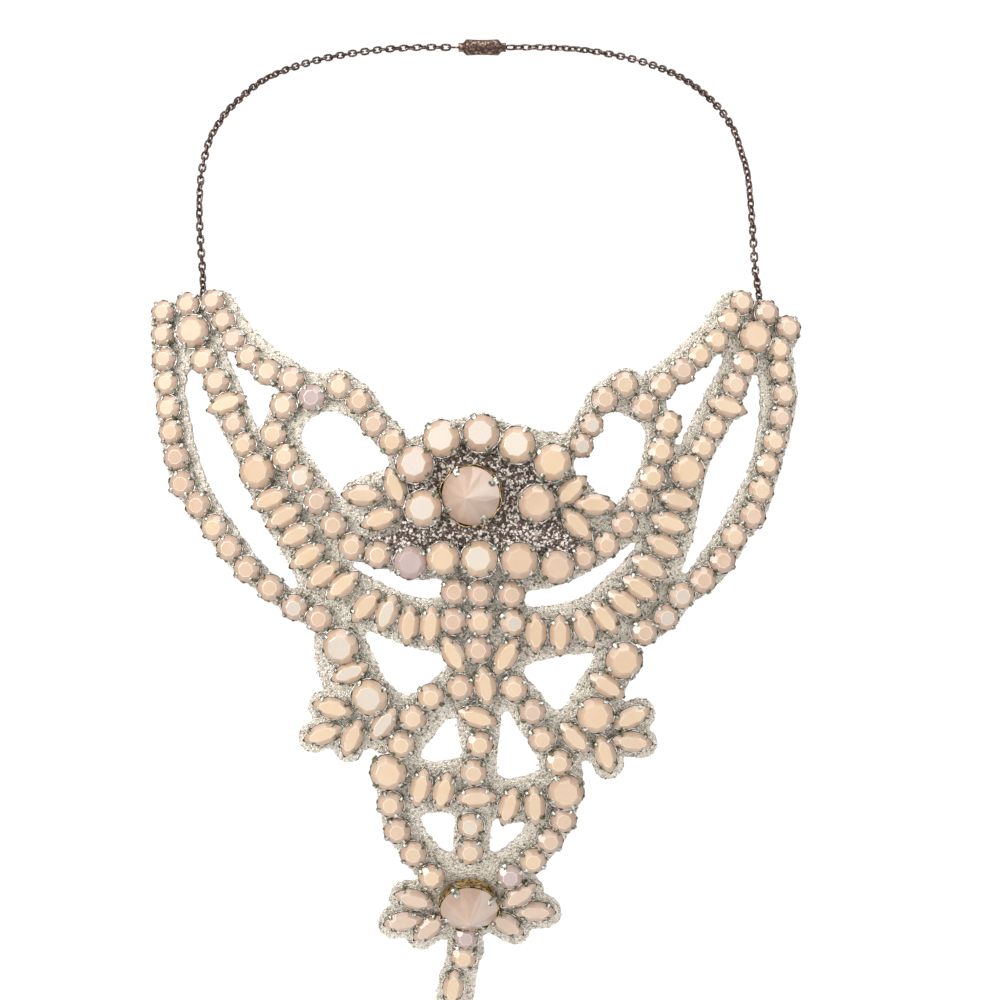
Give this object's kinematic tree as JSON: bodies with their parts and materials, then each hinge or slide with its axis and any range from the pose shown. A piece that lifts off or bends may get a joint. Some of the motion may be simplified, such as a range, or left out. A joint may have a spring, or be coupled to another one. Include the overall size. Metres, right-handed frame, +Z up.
{
  "type": "bib necklace",
  "caption": "Bib necklace of cut stones in claw settings, sewn in rows and petals on an openwork cloth that curves over the chest, hung from a fine chain.",
  "frame": {"origin": "where the clasp rests on the back of the wearer's neck", "axes": "+Z up, -Y forward to the wearer's front, +X to the right of someone who looks at the front"},
  "size_m": [0.1622, 0.127, 0.2547],
  "materials": {
    "cloth": "dense embroidery in pale metallic thread, slightly sparkling",
    "eye_cloth": "dark mauve-brown glitter cloth",
    "set_stones": "opaque blush, cut and polished, in silver claw settings",
    "chain_metal": "dark antique plate"
  },
  "bodies": {
    "root": {"backing": "cloth", "eye_ground": "eye_cloth", "outer_column_left": "set_stones", "outer_column_right": "set_stones", "second_column_left": "set_stones", "second_column_right": "set_stones", "neckline_row_left": "set_stones", "neckline_row_right": "set_stones", "inner_row_left": "set_stones", "inner_row_right": "set_stones", "fan_row_left": "set_stones", "fan_row_right": "set_stones", "branch_row_left": "set_stones", "branch_row_right": "set_stones", "arc_row_left": "set_stones", "arc_row_right": "set_stones", "centre_block": "set_stones", "stem_row": "set_stones", "tail_row": "set_stones", "eye_chaton_upper_1": "set_stones", "eye_chaton_upper_2": "set_stones", "eye_chaton_upper_3": "set_stones", "eye_chaton_upper_4": "set_stones", "eye_chaton_upper_5": "set_stones", "eye_chaton_lower_1": "set_stones", "eye_chaton_lower_2": "set_stones", "eye_chaton_lower_3": "set_stones", "eye_chaton_lower_4": "set_stones", "eye_chaton_lower_5": "set_stones", "eye_chaton_left": "set_stones", "eye_chaton_right": "set_stones", "eye_petal_left_1": "set_stones", "eye_petal_left_2": "set_stones", "eye_petal_left_3": "set_stones", "eye_petal_right_1": "set_stones", "eye_petal_right_2": "set_stones", "eye_petal_right_3": "set_stones", "centre_petal_left": "set_stones", "centre_petal_right": "set_stones", "centre_petal_low": "set_stones", "flower_petal_left_1": "set_stones", "flower_petal_left_2": "set_stones", "flower_petal_left_3": "set_stones", "flower_petal_left_4": "set_stones", "flower_petal_right_1": "set_stones", "flower_petal_right_2": "set_stones", "flower_petal_right_3": "set_stones", "flower_petal_right_4": "set_stones", "tail_petal_left_1": "set_stones", "tail_petal_left_2": "set_stones", "tail_petal_left_3": "set_stones", "tail_petal_right_1": "set_stones", "tail_petal_right_2": "set_stones", "tail_petal_right_3": "set_stones", "tail_petal_end": "set_stones", "rivoli_eye": "set_stones", "rivoli_tail": "set_stones", "chain_left": "chain_metal", "chain_right": "chain_metal", "clasp": "chain_metal"}
  },
  "joints": []
}
